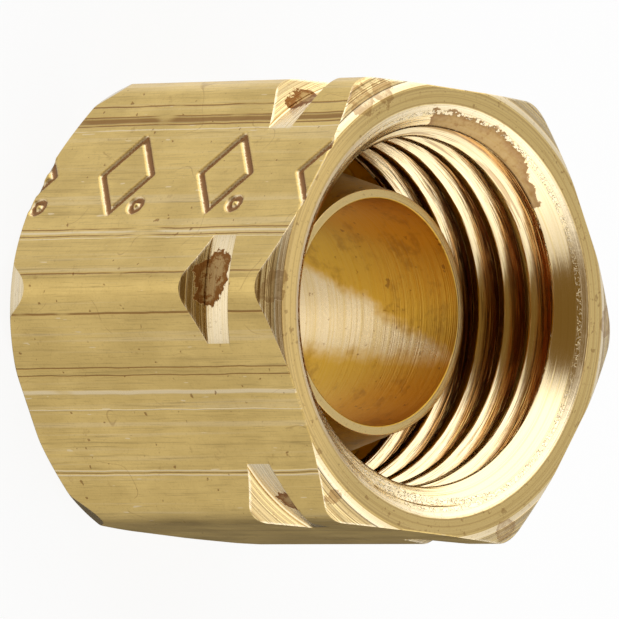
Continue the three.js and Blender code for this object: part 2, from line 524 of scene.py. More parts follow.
def nut_rows(bar, outside, inside):
    """Rows right round the nut's section: outside, back face, bores, thread, mouth and front face."""
    length, flat = bar["Length"], bar["Flat radius"]
    relief_top = inside.relief_floor + inside.relief_width
    wall = [
        (flat - outside.edge_round * 3, 0.0, TURNED_FACE),
        (inside.counterbore, 0.0, INNER_FACE),
        (inside.counterbore, inside.shoulder, INNER_FACE),
        (inside.back_bore, inside.shoulder, INNER_FACE),
        (inside.back_bore, inside.seat_foot, INNER_FACE),
        (inside.seat_mouth, inside.relief_floor, INNER_FACE),
        (inside.relief, inside.relief_floor, INNER_FACE),
        (inside.relief, relief_top, THREAD_FACE),
        (inside.root + 0.02 * MM, relief_top, THREAD_FACE),
    ]
    mouth = flat - inside.face_width
    step = mouth - inside.step_width
    step_height = length - inside.step_depth
    rim = [
        (step, step_height, TURNED_FACE),
        (step + inside.step_width * 0.5, step_height + inside.step_depth * 0.5, TURNED_FACE),
        (mouth, length, TURNED_FACE),
        (flat - outside.edge_round * 2, length, TURNED_FACE),
    ]
    start = thread_start(inside)
    lowest = math.floor((relief_top - start - inside.pitch) / inside.pitch * THREAD_SAMPLES) - 1
    highest = math.ceil((step_height - start) / inside.pitch * THREAD_SAMPLES) + 1
    turns = [row(THREAD, THREAD_FACE, reach=s / THREAD_SAMPLES) for s in range(lowest, highest + 1)]
    rows = outside_rows()
    rows += [row(TURNED, f, r, h) for r, h, f in rounded(wall, outside.edge_round)]
    rows += turns
    rows += [row(TURNED, f, r, h) for r, h, f in rounded(rim, outside.crease_round)[1:]]
    return rows + [rows[0]]


def thread_start(inside):
    """Height of the thread's lowest root at +X."""
    middle = inside.relief_floor + inside.relief_width / 2
    return middle - inside.pitch * inside.start_angle / math.tau


def nut_tree(bar, outside, inside, materials):
    """The rule of the nut's shape: a hexagonal bar cut by turned lines, with a helical thread."""
    sizes = {**bar, **values_of(outside), **values_of(inside)}
    sizes["Thread height at +X"] = thread_start(inside)
    graph, given = shape_tree("Nut shape", sizes)
    ring = Ring(graph, given["Rows"], NUT_COLUMNS)
    turn = ring.turn
    angle = turn - graph.sine(turn * 6) * (CORNER_CROWDING / 6)
    radius, height = ring.outline()
    bar_radius = hexagon(graph, given, angle)
    lines = crease_lines(graph, given, bar_radius)
    out_height, out_radius = outside_place(graph, given, ring, lines, bar_radius)
    in_height, in_radius = thread_place(graph, given, ring, angle)
    zone = ring.named("zone", "INT", ring.row)
    height = choose(graph, zone, [height, out_height, in_height])
    radius = choose(graph, zone, [radius, out_radius, in_radius])
    radius = radius + burr(graph, given, angle, radius, height)
    ring.close(angle, radius, height, materials, bare_flats(graph, given))
    return graph, sizes


def bare_flats(graph, given):
    """1 on faces of the groove's height where the bar is too thin for the groove to reach it."""
    x, y, z = graph.axes(graph.term("GeometryNodeInputPosition"))
    radius = graph.root(x * x + y * y)
    floor = given["Flat radius"] + given["Groove rise"]
    off = graph.size(z - given["Length"] + given["Groove setback"])
    near = (off < given["Groove setback"] * 0.5) * (radius > given["Flat radius"] * 0.98)
    return near * (radius < floor - GROOVE_TOLERANCE)


def choose(graph, index, values):
    """The value whose number is the index."""
    node = graph.add("GeometryNodeIndexSwitch", {"data_type": "FLOAT"})
    while len(node.index_switch_items) < len(values):
        node.index_switch_items.new()
    graph.feed(node.inputs[0], index)
    for socket, value in zip(node.inputs[1:], values):
        graph.feed(socket, value)
    return Term(graph, node.outputs[0])


def hexagon(graph, given, angle):
    """The bar's radius at an angle: straight flats, and round corners at every sixth of a turn."""
    off = graph.size(graph.wrap(angle + math.pi / 6, math.pi / 3) - math.pi / 6)
    straight = given["Flat radius"] / graph.cosine(math.pi / 6 - off)
    across = given["Corner centre"] * graph.sine(off)
    under = given["Corner radius"] * given["Corner radius"] - across * across
    arc = given["Corner centre"] * graph.cosine(off) + graph.root(graph.most(under, 0.0))
    return graph.pick(off > given["Corner half angle"], straight, arc)


def crease_lines(graph, given, bar_radius):
    """Heights where the turned cuts meet the bar, from the front face down to the back face."""
    length = given["Length"]
    middle = length - given["Groove setback"]
    half = given["Groove width"] * 0.5
    rim = given["Flat radius"] + given["Face rim"]
    deep = graph.most(bar_radius - given["Flat radius"] - given["Groove rise"], 0.0)
    side = deep * graph.tangent(given["Groove sides"])
    front = length - graph.most(bar_radius - rim, 0.0) * graph.tangent(given["Front chamfer"])
    break_rise = graph.tangent(given["Back break"])
    broken = rim + given["Back break height"] / break_rise
    back = graph.most(graph.least(bar_radius, broken) - rim, 0.0) * break_rise
    taper = graph.most(bar_radius - broken, 0.0) * graph.tangent(given["Back taper"])
    corner = graph.least(given["Back break height"], back)
    top, bottom = middle + half, middle - half
    return [length, front, top + side, top, bottom, bottom - side, back + taper, corner, 0.0]


def outside_place(graph, given, ring, lines, bar_radius):
    """Height and radius of an outside row, which keeps its distance from its crease line."""
    start = choose(graph, ring.named("line", "INT", ring.row), lines)
    end = choose(graph, ring.named("toward", "INT", ring.row), lines)
    reach = ring.named("reach", "FLOAT", ring.row)
    half = (end - start) * 0.5
    height = start + graph.most(graph.least(half, reach), -reach)
    length, soft = given["Length"], given["Crease round"]
    rim = given["Flat radius"] + given["Face rim"]
    front = rim + (length - height) / graph.tangent(given["Front chamfer"])
    broken = rim + height / graph.tangent(given["Back break"])
    elbow = given["Back break height"] / graph.tangent(given["Back break"])
    taper = rim + elbow + (height - given["Back break height"]) / graph.tangent(given["Back taper"])
    off = graph.size(height - length + given["Groove setback"]) - given["Groove width"] * 0.5
    floor = given["Flat radius"] + given["Groove rise"]
    groove = floor + graph.calc("SMOOTH_MAX", off, 0.0, soft) / graph.tangent(given["Groove sides"])
    turned = graph.calc("SMOOTH_MIN", broken, taper, soft)
    turned = graph.least(graph.least(front, turned), groove)
    radius = graph.calc("SMOOTH_MIN", turned, bar_radius, soft)
    near = graph.least(graph.least(height, length - height), given["Edge round"])
    lack = given["Edge round"] - near
    drop = given["Edge round"] - graph.root(graph.most(given["Edge round"] ** 2 - lack * lack, 0.0))
    return height, radius - drop


def thread_place(graph, given, ring, angle):
    """Height and radius of a thread row, which climbs one pitch in each turn."""
    pitch = given["Thread pitch"]
    along = ring.named("reach", "FLOAT", ring.row)
    helix = given["Thread height at +X"] + pitch * (angle / math.tau)
    lowest = given["Relief floor"] + given["Relief width"]
    highest = given["Length"] - given["Mouth step depth"]
    height = graph.most(graph.least(helix + along * pitch, highest), lowest)
    off = graph.size(graph.wrap(height - helix + pitch * 0.5, pitch) - pitch * 0.5)
    flank = given["Thread root"] + (pitch * ROOT_SHARE - off) / math.tan(THREAD_FLANK)
    groove = graph.calc("SMOOTH_MIN", flank, given["Thread root"], given["Thread round"])
    step = given["Flat radius"] - given["Face width"] - given["Mouth step width"]
    cone = step - (highest - height) / graph.tangent(given["Thread countersink"])
    base = graph.most(cone, given["Thread crest"])
    return height, graph.calc("SMOOTH_MAX", groove, base, given["Thread round"])


def burr(graph, given, angle, radius, height):
    """The small raggedness of the mouth's edge."""
    mouth = given["Flat radius"] - given["Face width"]
    near = graph.size(radius - mouth) + graph.size(height - given["Length"])
    mask = 1 - graph.ramp(near, BURR_NEAR, BURR_FAR)
    place = graph.xyz(graph.cosine(angle), graph.sine(angle), 0.0)
    return mask * (graph.noise(place, 14.0, 2.0) - 0.5) * BURR_SIZE


# ---------------------------------------------------------------------------------------------
# Stamped marks
# ---------------------------------------------------------------------------------------------

MARKED_FLAT = math.radians(-30)
MARK_NORMAL = Vector((math.cos(MARKED_FLAT), math.sin(MARKED_FLAT), 0.0))
MARK_ACROSS = Vector((math.sin(MARKED_FLAT), -math.cos(MARKED_FLAT), 0.0))
MARK_GRID = 0.05 * MM
MARK_REACH = 0.32 * MM
OPEN_GRID = 0.6 * MM
FLAT_TOLERANCE = 0.002 * MM
FLAT_COSINE = 0.999
EDGE_FADE = 0.06 * MM


def mark_strokes(marks, length):
    """The lozenges' sides as pairs of (height, across) points, and the rings' middles."""
    sides, rings = [], []
    wide, tall = marks.half_width, marks.half_height
    first = marks.first - marks.pitch
    for number in range(math.ceil((length - first) / marks.pitch) + 1):
        middle = Vector((first + number * marks.pitch, marks.middle))
        points = [middle + Vector(tip) for tip in ((wide, 0), (0, tall), (-wide, 0), (0, -tall))]
        sides += list(zip(points, points[1:] + points[:1]))
        rings.append(middle + Vector((wide * 0.98, -tall * 0.82)))
    return sides, rings


def stroke_distance(point, sides, rings, ring_radius):
    """Distance from a point of the flat to the nearest stroke's middle line."""
    nearest = min(abs((point - ring).length - ring_radius) for ring in rings)
    for start, end in sides:
        span = end - start
        share = max(0.0, min(1.0, (point - start).dot(span) / span.length_squared))
        nearest = min(nearest, (point - start - span * share).length)
    return nearest


def stamp_height(distance, marks):
    """How far the stamp moves the metal: down in a stroke, and a little up beside it."""
    share = distance / marks.stroke
    dent = -marks.depth * (1 - share ** 3.5) if share < 1 else 0.0
    lip = 0.16 * marks.depth * math.exp(-((share - 1.35) / 0.35) ** 2)
    return dent + lip


def stamp(mesh, marks):
    """Replaces the marked flat with a fine sheet and presses the marks into it."""
    work = bmesh.new()
    work.from_mesh(mesh)
    flat = NUT_HIGH.y
    sides, rings = mark_strokes(marks, NUT_HIGH.z)
    lowest = flat - FLAT_TOLERANCE
    faces = [f for f in work.faces if all(v.co.dot(MARK_NORMAL) > lowest for v in f.verts)]
    faces = [f for f in faces if f.normal.dot(MARK_NORMAL) > FLAT_COSINE]
    number = faces[0].material_index
    bmesh.ops.delete(work, geom=faces, context="FACES_KEEP_BOUNDARY")
    border = [e for e in work.edges if e.is_boundary]
    corners = list({v for e in border for v in e.verts})
    index = {v: i for i, v in enumerate(corners)}
    outline = [Vector((v.co.z, v.co.dot(MARK_ACROSS))) for v in corners]
    inner = sheet_points(outline, sides, rings, marks)
    edges = [(index[e.verts[0]], index[e.verts[1]]) for e in border]
    found = delaunay_2d_cdt(outline + inner, edges, [], 1, 1e-8)
    made = []
    for place, origin in zip(found[0], found[3]):
        known = [i for i in origin if i < len(corners)]
        made.append(corners[known[0]] if known else work.verts.new(on_flat(place, flat)))
    for triangle in found[2]:
        face = work.faces.new([made[i] for i in triangle])
        face.material_index = number
    loose = [vert for vert in work.verts if not vert.link_faces]
    bmesh.ops.delete(work, geom=loose, context="VERTS")
    for vert in work.verts:
        press(vert, flat, sides, rings, marks)
    bmesh.ops.recalc_face_normals(work, faces=work.faces)
    work.to_mesh(mesh)
    work.free()


def on_flat(place, flat):
    """The point of the marked flat at a height and a distance across."""
    return MARK_NORMAL * flat + MARK_ACROSS * place.y + Vector((0, 0, place.x))


def sheet_points(outline, sides, rings, marks):
    """Points inside the flat's outline, fine near the strokes and coarse elsewhere."""
    low = Vector((min(p.x for p in outline), min(p.y for p in outline)))
    high = Vector((max(p.x for p in outline), max(p.y for p in outline)))
    every = round(OPEN_GRID / MARK_GRID)
    tree = KDTree(len(outline))
    for i, point in enumerate(outline):
        tree.insert(point.to_3d(), i)
    tree.balance()
    points = []
    for i in range(1, int((high.x - low.x) / MARK_GRID)):
        for j in range(1, int((high.y - low.y) / MARK_GRID)):
            shift = 0.5 if i % 2 else 0.0
            point = low + Vector((i, j + shift)) * MARK_GRID
            coarse = i % every == 0 and j % every == 0
            near = stroke_distance(point, sides, rings, marks.ring) < MARK_REACH
            if (coarse or near) and tree.find(point.to_3d())[2] > MARK_GRID * 0.6:
                points.append(point)
    return points


def press(vert, flat, sides, rings, marks):
    """Moves a point of the marked flat, or of its rounded end edge, by the stamp's height."""
    across = vert.co.dot(MARK_ACROSS)
    depth = flat - vert.co.dot(MARK_NORMAL)
    if depth > EDGE_FADE or depth < -1e-6 or abs(across) > marks.half_height * 2:
        return
    distance = stroke_distance(Vector((vert.co.z, across)), sides, rings, marks.ring)
    share = 1 - depth / EDGE_FADE
    vert.co += MARK_NORMAL * stamp_height(distance, marks) * share


def weighted_normals(mesh):
    """Shades the mesh smooth, with the normals of its large faces kept true across them."""
    for polygon in mesh.polygons:
        polygon.use_smooth = True
    sums = [Vector() for _ in mesh.vertices]
    for polygon in mesh.polygons:
        for corner in polygon.vertices:
            sums[corner] += polygon.normal * polygon.area
    mesh.normals_split_custom_set_from_vertices([s.normalized() for s in sums])


def tidied(mesh):
    """Turns a closed mesh's faces outwards and drops the attributes that only built it."""
    work = bmesh.new()
    work.from_mesh(mesh)
    bmesh.ops.dissolve_degenerate(work, dist=1e-8, edges=work.edges)
    bmesh.ops.recalc_face_normals(work, faces=work.faces)
    work.to_mesh(mesh)
    work.free()
    if "finish" in mesh.attributes:
        mesh.attributes.remove(mesh.attributes["finish"])


# ---------------------------------------------------------------------------------------------
# Sleeve
# ---------------------------------------------------------------------------------------------

def sleeve_rows(sizes):
    """Rows right round the sleeve's section, from the tip down the outside and up the bore."""
    low, high = SLEEVE_LOW.z, SLEEVE_HIGH.z
    tip = sizes.bore + sizes.tip_wall
    rim = sizes.bore + sizes.tip_wall * 0.5
    nose = high - (sizes.barrel - tip) / math.tan(sizes.nose_slope)
    lip = SLEEVE_HIGH.x
    corners = [
        (rim, high, TURNED_FACE),
        (tip, high, INNER_FACE),
        (sizes.barrel, nose, INNER_FACE),
        (sizes.barrel, sizes.seat_foot + sizes.seat_height, INNER_FACE),
        (sizes.tail, sizes.seat_foot, INNER_FACE),
        (sizes.tail, low + sizes.lip_height, INNER_FACE),
        (lip, low + sizes.lip_height, TURNED_FACE),
        (lip, low, TURNED_FACE),
        (sizes.bore + sizes.lead_in, low, TURNED_FACE),
        (sizes.bore, low + sizes.lead_in, INNER_FACE),
        (sizes.bore, (low + high) / 2, INNER_FACE),
        (sizes.bore, high, TURNED_FACE),
        (rim, high, TURNED_FACE),
    ]
    return [row(TURNED, f, r, h) for r, h, f in rounded(corners, sizes.edge_round)]


def sleeve_tree(materials):
    """The rule of the sleeve's shape: its rows turned round the axis."""
    graph, given = shape_tree("Sleeve shape", {})
    ring = Ring(graph, given["Rows"], SLEEVE_COLUMNS)
    radius, height = ring.outline()
    ring.close(ring.turn, radius, height, materials)
    return graph


# ---------------------------------------------------------------------------------------------
# Finishes
# ---------------------------------------------------------------------------------------------

# Each spot is its angle in degrees from +X, radius, height and size in millimetres.
GROOVE_STAINS = [
    (-3, 6.6, 8.42, 0.6), (-5.5, 6.65, 8.55, 0.5), (1, 6.6, 8.3, 0.4), (-61, 6.6, 8.3, 0.42),
    (-58, 6.6, 8.2, 0.35), (60, 6.6, 8.75, 0.42), (63, 6.6, 9.0, 0.4), (121, 6.62, 8.6, 0.55),
    (179, 6.65, 8.5, 0.6), (-119, 6.6, 8.5, 0.5)]
CHAMFER_STAINS = [
    (1, 6.75, 10.92, 0.42), (-2, 6.6, 11.0, 0.3), (-57, 6.75, 10.95, 0.5), (-64, 6.6, 11.02, 0.4),
    (57, 6.8, 10.9, 0.25), (118, 6.75, 10.95, 0.4), (-177, 6.8, 10.9, 0.45)]
# The mouth's stain runs between two angles, in degrees, and narrows from one radius by the last.
MOUTH_STAIN_ENDS = (-140, -82)
MOUTH_STAIN_RADIUS = 5.74
MOUTH_STAIN_NARROWS = 0.4
MOUTH_STAIN_TAPER = 28
MM_A_DEGREE = 0.0925
# Each die line is its flat's angle in degrees, its distance across the flat and its half width.
DARK_DIE_LINES = [
    (-30, 2.08, 0.04), (-30, 2.24, 0.13), (-30, 2.2, 0.05), (-30, 2.38, 0.04), (-30, 2.75, 0.04),
    (-30, -1.6, 0.035), (-30, -1.83, 0.03), (-30, -3.15, 0.04), (30, 2.87, 0.05), (30, 1.17, 0.03),
    (30, 0.93, 0.025), (30, -2.11, 0.02), (90, 1.1, 0.05), (90, 2.9, 0.06), (150, -1.6, 0.06),
    (150, 2.5, 0.04), (-150, 0.8, 0.05), (-150, 2.8, 0.05), (-90, 2.1, 0.05), (-90, -2.7, 0.04)]
LIGHT_DIE_LINES = [
    (-30, -1.71, 0.05), (-30, -1.92, 0.02), (-30, 1.9, 0.03), (30, -2.04, 0.03), (30, -2.18, 0.03),
    (30, 0.4, 0.09), (30, -0.15, 0.025), (90, -1.8, 0.05), (150, 2.2, 0.05), (-150, -2.4, 0.06),
    (-90, -1.4, 0.04)]
DIE_LINE_DEPTH = 0.25
# Radii and heights in millimetres where one look of the turned brass gives way to another.
CHAMFER_RADII = (6.62, 6.66)
CHAMFER_FOOT = 7.0
FACE_RADII = (5.86, 5.9)
FACE_END = 6.45
FACE_HEIGHT = 11.0
BURR_AND_HIGHLIGHT_REACH = (6.28, 6.33)
SLEEVE_RIM = 4.6
WORN_SIDE = (3.0, 5.2)
WORN_HEIGHT = 10.85
WORN_RADIUS = 6.4
# The step in the mouth: its foot, the crease there, and the rise of the countersink below it for
# each millimetre of radius.
STEP_RADIUS = 5.57
STEP_HEIGHT = 10.9
CREASE_RADIUS = 5.58
CREASE_HEIGHT = 10.8
START_RISE = 0.869
MOUTH_FOOT = 10.4
# Where the thread is tarnished: its top, and the radii between which the tarnish sets in.
THREAD_TOP = 10.42
ROOT_RADII = (5.2, 5.36)
HEAVY_SIDE = (3.6, 4.9)
# The row of marks on its flat, in millimetres.
MARKS_MIDDLE = 0.3
MARKS_HALF = 1.9
MARKS_DEPTH = 0.2
# Painted shade: the bore is painted dark orange where a place's share along either direction passes
# that direction's edge, in millimetres, leaving one light wedge, and dark orange everywhere outside the
# bore.
PAINTED_SHADE_SIDE = (0.112, -0.994, 0.465)
PAINTED_SHADE_EDGE = 2.49
PAINTED_SHADE_LOWER = (0.112, -0.994, 0.05)
PAINTED_SHADE_LOWER_EDGE = 0.95
BORE_RADIUS = 3.45


def new_finish(name):
    """A new material, its graph, and the place on the piece in millimetres."""
    material = bpy.data.materials.new(name)
    material.use_nodes = True
    material.node_tree.nodes.clear()
    graph = Graph(material.node_tree)
    return material, graph, graph.term("ShaderNodeTexCoord", output="Object") * (1 / MM)


def metal(graph, tone, roughness, height, depth):
    """Ends a material as brass whose fine relief is a height from 0 to about 1."""
    normal = graph.term("ShaderNodeBump", None, {"Strength": 1.0, "Distance": depth, "Height": height})
    inputs = {"Base Color": tone, "Roughness": roughness, "Metallic": 1.0, "Normal": normal}
    shader = graph.term("ShaderNodeBsdfPrincipled", None, inputs)
    graph.add("ShaderNodeOutputMaterial", None, {"Surface": shader})


def level(degrees):
    """X and Y of the level direction at an angle from +X."""
    turn = math.radians(degrees)
    return math.cos(turn), math.sin(turn)


def spotted(graph, place, spots, warp):
    """How far a place is inside ragged round spots, in millimetres, below 0 outside them."""
    ragged = (graph.noise(place, 2.6, 5.0, 0.7) - 0.5) * warp
    inside = []
    for angle, radius, height, size in spots:
        x, y = level(angle)
        inside.append(size - graph.length(place - (radius * x, radius * y, height)))
    return graph.most(*inside) + ragged


def stain_layers(graph, colours, inside, grain, strength):
    """Layers of light brown stains that are dark at the rim and in flecks, and their cover."""
    cover = graph.ramp(inside, 0.0, 0.03) * strength
    rim = graph.ramp(inside + (grain - 0.5) * 0.6, 0.26, 0.12)
    flecks = graph.ramp(grain, 0.52, 0.58)
    layers = [
        (cover * 0.85, colours.stain),
        (cover * graph.most(rim, flecks) * 0.9, colours.tarnish),
    ]
    return layers, cover


def mouth_layer(graph, colours, place, radius, grain, blotches):
    """The layer of the stain round the mouth, darker at its rim and in blotches, and its cover."""
    x, y, height = graph.axes(place)
    turn = graph.calc("ARCTAN2", y, x) * math.degrees(1)
    ragged = (graph.noise(place, 1.3, 6.0, 0.68) - 0.5) * 0.75
    first, last = MOUTH_STAIN_ENDS
    outer = MOUTH_STAIN_RADIUS - graph.ramp(turn, first + MOUTH_STAIN_TAPER, first) * MOUTH_STAIN_NARROWS
    ends = graph.least(turn - first, last - turn) * MM_A_DEGREE
    inside = graph.least(graph.least(outer - radius, ends) + ragged, height - MOUTH_FOOT)
    dark = graph.most(graph.ramp(inside, 0.3, 0.06) * 0.7, graph.ramp(blotches, 0.55, 0.64) * 0.5)
    cover = graph.ramp(inside, 0.0, 0.04)
    return (cover * (0.7 + grain * 0.3), graph.blend(dark, colours.stain, colours.tarnish)), cover


def flat_reach(graph, place):
    """The furthest that a place reaches towards any flat, in millimetres."""
    reaches = [graph.size(graph.dot(place, (*level(angle), 0.0))) for angle in (-30, 30, 90)]
    return graph.most(*reaches)


def die_lines(graph, place, lines):
    """1 along straight lines down the bar's flats, and 0 elsewhere."""
    waver = (graph.noise(place, 0.5, 3.0) - 0.5) * 0.12
    flat = NUT_HIGH.y / MM
    masks = []
    for angle, across, half in lines:
        x, y = level(angle)
        on = graph.dot(place, (x, y, 0.0)) > flat - DIE_LINE_DEPTH
        off = graph.size(graph.dot(place, (y, -x, 0.0)) - across + waver)
        masks.append(on * (1 - graph.ramp(off, half * 0.35, half)))
    return graph.most(*masks) * graph.ramp(graph.noise(place * (1, 1, 0.5), 0.9, 2.0), 0.28, 0.44)


def stamped_depth(graph, place):
    """Depth below the marked flat, in millimetres, and 0 off the row of marks."""
    below = NUT_HIGH.y / MM - graph.dot(place, tuple(MARK_NORMAL))
    beside = graph.size(graph.dot(place, tuple(MARK_ACROSS)) - MARKS_MIDDLE)
    return graph.most(below, 0.0) * (beside < MARKS_HALF) * (below < MARKS_DEPTH)


def drawn_brass(colours):
    """Satin bar: lines along its length, clouds, dents, hairline scratches, and in the stamp a painted
    highlight on the strokes' walls and darker stroke bottoms.
    """
    material, graph, place = new_finish("drawn_brass")
    broad = graph.noise(place * (1, 1, 0.012), 3.2, 4.0, 0.65)
    fine = graph.noise(place * (1, 1, 0.02), 13.0, 3.0, 0.6)
    thin = graph.noise(place * (1, 1, 0.03), 30.0, 2.0, 0.5)
    clouds = graph.noise(place * (1, 1, 0.6), 0.75, 4.0, 0.6)
    grain = graph.noise(place, 14.0, 4.0, 0.7)
    smudge = graph.ramp(graph.noise(place, 1.9, 5.0, 0.65), 0.62, 0.72)
    pits = graph.ramp(graph.noise(place, 4.3, 2.0, 0.4), 0.71, 0.76)
    curve = graph.noise(place * (1, 1, 0.7), 0.55, 1.0, 0.3)
    hair = (1 - graph.ramp(graph.size(curve - 0.52), 0.0, 0.004)) * graph.ramp(clouds, 0.5, 0.56)
    nick = graph.ramp(graph.noise(place * (1, 1, 0.16), 9.0, 1.0, 0.4), 0.75, 0.77)
    dark = die_lines(graph, place, DARK_DIE_LINES)
    light = die_lines(graph, place, LIGHT_DIE_LINES)
    sunk = stamped_depth(graph, place) + (grain - 0.5) * 0.08
    tone = graph.layers(colours.drawn_deep, [
        (graph.ramp(clouds, 0.3, 0.7), colours.drawn),
        (graph.ramp(broad, 0.54, 0.7) * 0.2, colours.grime),
        (graph.ramp(broad, 0.46, 0.34) * 0.25, colours.turned),
        (graph.ramp(fine, 0.56, 0.68) * 0.22, colours.grime),
        (graph.ramp(thin, 0.58, 0.7) * 0.2, colours.grime),
        (graph.ramp(grain, 0.52, 0.7) * 0.14, colours.grime),
        (graph.most(light * 0.75, nick * 0.6), colours.turned),
        (dark * 0.72, colours.tarnish),
        (graph.most(pits * 0.6, hair * 0.35, smudge * 0.22), colours.tarnish),
        # Painted highlight on the strokes' shallow walls, and darker stroke bottoms.
        (graph.ramp(sunk, 0.012, 0.04) * 0.75, colours.turned),
        (graph.ramp(sunk, 0.045, 0.08) * 0.9, colours.tarnish),
    ])
    roughness = 0.25 + clouds * 0.14 + grain * 0.12 - light * 0.08 + pits * 0.1
    raised = broad * 0.7 + fine * 0.5 + thin * 0.3 + grain * 0.25 + light * 0.5
    metal(graph, tone, roughness, raised - pits * 0.6 - hair * 0.3 - dark * 0.7, 0.011 * MM)
    return material


def outline_place(graph, place):
    """A place's radius and height, and its point on the turned outline, which wavers a little."""
    x, y, height = graph.axes(place)
    radius = graph.root(x * x + y * y)
    return radius, height, graph.xyz(radius, height, graph.noise(place, 0.25, 1.0) * 0.1)


def lathe_lines(graph, along, scale):
    """Noise that changes only along the turned outline."""
    return graph.noise(along, scale, 2.0, 0.7)


def turned_brass(colours):
    """Bright lathe-cut brass, ringed, with red-brown stains in the groove and round the mouth."""
    material, graph, place = new_finish("turned_brass")
    radius, height, along = outline_place(graph, place)
    rings = lathe_lines(graph, along, 7.5)
    lines = lathe_lines(graph, along, 12.0)
    fine = lathe_lines(graph, along, 20.0)
    grain = graph.noise(place, 9.0, 4.0, 0.65)
    blotches = graph.noise(place, 5.5, 5.0, 0.75)
    specks = graph.ramp(graph.noise(place, 4.0, 3.0, 0.6), 0.63, 0.68)
    chamfer = graph.ramp(radius, *CHAMFER_RADII) * (height > CHAMFER_FOOT)
    face = graph.ramp(radius, *FACE_RADII) * (radius < FACE_END) * (height > FACE_HEIGHT)
    rim = radius < SLEEVE_RIM
    # Partly a burred edge, partly a painted edge highlight: the chamfer is painted light where it meets the
    # flats.
    burr_and_highlight = chamfer * graph.ramp(flat_reach(graph, place) + (grain - 0.5) * 0.1, *BURR_AND_HIGHLIGHT_REACH)
    # Darker along the crease at the foot of the mouth's step.
    off_crease = graph.size(radius - CREASE_RADIUS) + (grain - 0.5) * 0.16
    crease = (1 - graph.ramp(off_crease, 0.02, 0.08)) * (height > CREASE_HEIGHT)
    worn = graph.ramp(graph.axes(place)[0], *WORN_SIDE) * (height > WORN_HEIGHT) * (radius < WORN_RADIUS)
    inside = spotted(graph, place, GROOVE_STAINS, 0.8)
    in_groove, groove_cover = stain_layers(graph, colours, inside, blotches, 1.0)
    inside = spotted(graph, place, CHAMFER_STAINS, 1.0)
    on_chamfer, chamfer_cover = stain_layers(graph, colours, inside, blotches, 0.38)
    at_mouth, mouth_cover = mouth_layer(graph, colours, place, radius, grain, blotches)
    tone = graph.layers(colours.turned, [
        (graph.ramp(rings, 0.42, 0.62) * 0.3, colours.drawn_deep),
        (graph.most(face * 0.85, rim * 0.8), colours.drawn),
        (face * graph.ramp(lines, 0.5, 0.56) * 0.22, colours.tarnish),
        (face * specks * 0.4, colours.tarnish),
        (chamfer * 0.65, colours.drawn),
        (chamfer * graph.ramp(lines, 0.49, 0.54) * 0.4, colours.grime),
        (chamfer * graph.ramp(fine, 0.52, 0.6) * 0.25, colours.tarnish),
        (crease * 0.7, colours.grime),
        (burr_and_highlight * 0.8, colours.turned),
        (graph.ramp(grain, 0.58, 0.7) * 0.3, colours.tarnish),
        *in_groove,
        *on_chamfer,
        at_mouth,
    ])
    cover = graph.most(groove_cover, chamfer_cover, mouth_cover)
    roughness = 0.17 + grain * 0.12 + cover * 0.25 + worn * 0.3
    raised = (rings + lines * chamfer) * (0.9 + chamfer * 1.3) + fine * (0.45 + chamfer * 0.6)
    metal(graph, tone, roughness, raised + grain * 0.12 - cover * 0.2, 0.018 * MM)
    return material


def thread_brass(colours):
    """The thread: bright crests and flanks, with dark orange tarnish down in the roots."""
    material, graph, place = new_finish("thread_brass")
    radius, height, along = outline_place(graph, place)
    rings = lathe_lines(graph, along, 11.0)
    fine = lathe_lines(graph, along, 26.0)
    grain = graph.noise(place, 6.0, 4.0, 0.6)
    threaded = height < THREAD_TOP
    heavy = graph.ramp(-graph.axes(place)[0], *HEAVY_SIDE) * 0.15
    deep = graph.ramp(radius + (grain - 0.5) * 0.06 + heavy, *ROOT_RADII) * threaded
    cut = graph.ramp(rings, 0.58, 0.62) * (1 - deep) * threaded
    # Partly burr specks, partly painted glints: light brass specks where the thread runs into the
    # countersink.
    under = STEP_HEIGHT - (STEP_RADIUS - radius) * START_RISE - height
    speck = (under > 0.005) * (under < 0.12) * graph.ramp(graph.noise(place, 9.0, 2.0, 0.6), 0.5, 0.54)
    at_mouth, mouth_cover = mouth_layer(graph, colours, place, radius, grain, grain)
    tone = graph.layers(colours.turned, [
        (0.2 + graph.ramp(fine, 0.45, 0.65) * 0.3, colours.drawn),
        (deep * 0.85, colours.root),
        (deep * graph.ramp(rings, 0.48, 0.55) * 0.7, colours.grime),
        (deep * graph.ramp(fine, 0.58, 0.62) * 0.5, colours.drawn),
        (cut * 0.5, colours.tarnish),
        at_mouth,
        (speck, colours.turned),
    ])
    roughness = 0.1 + fine * 0.1 + deep * 0.05 + mouth_cover * 0.28
    metal(graph, tone, roughness, rings * 0.7 + fine * 0.4 + grain * 0.06 + speck * 5.0, 0.012 * MM)
    return material


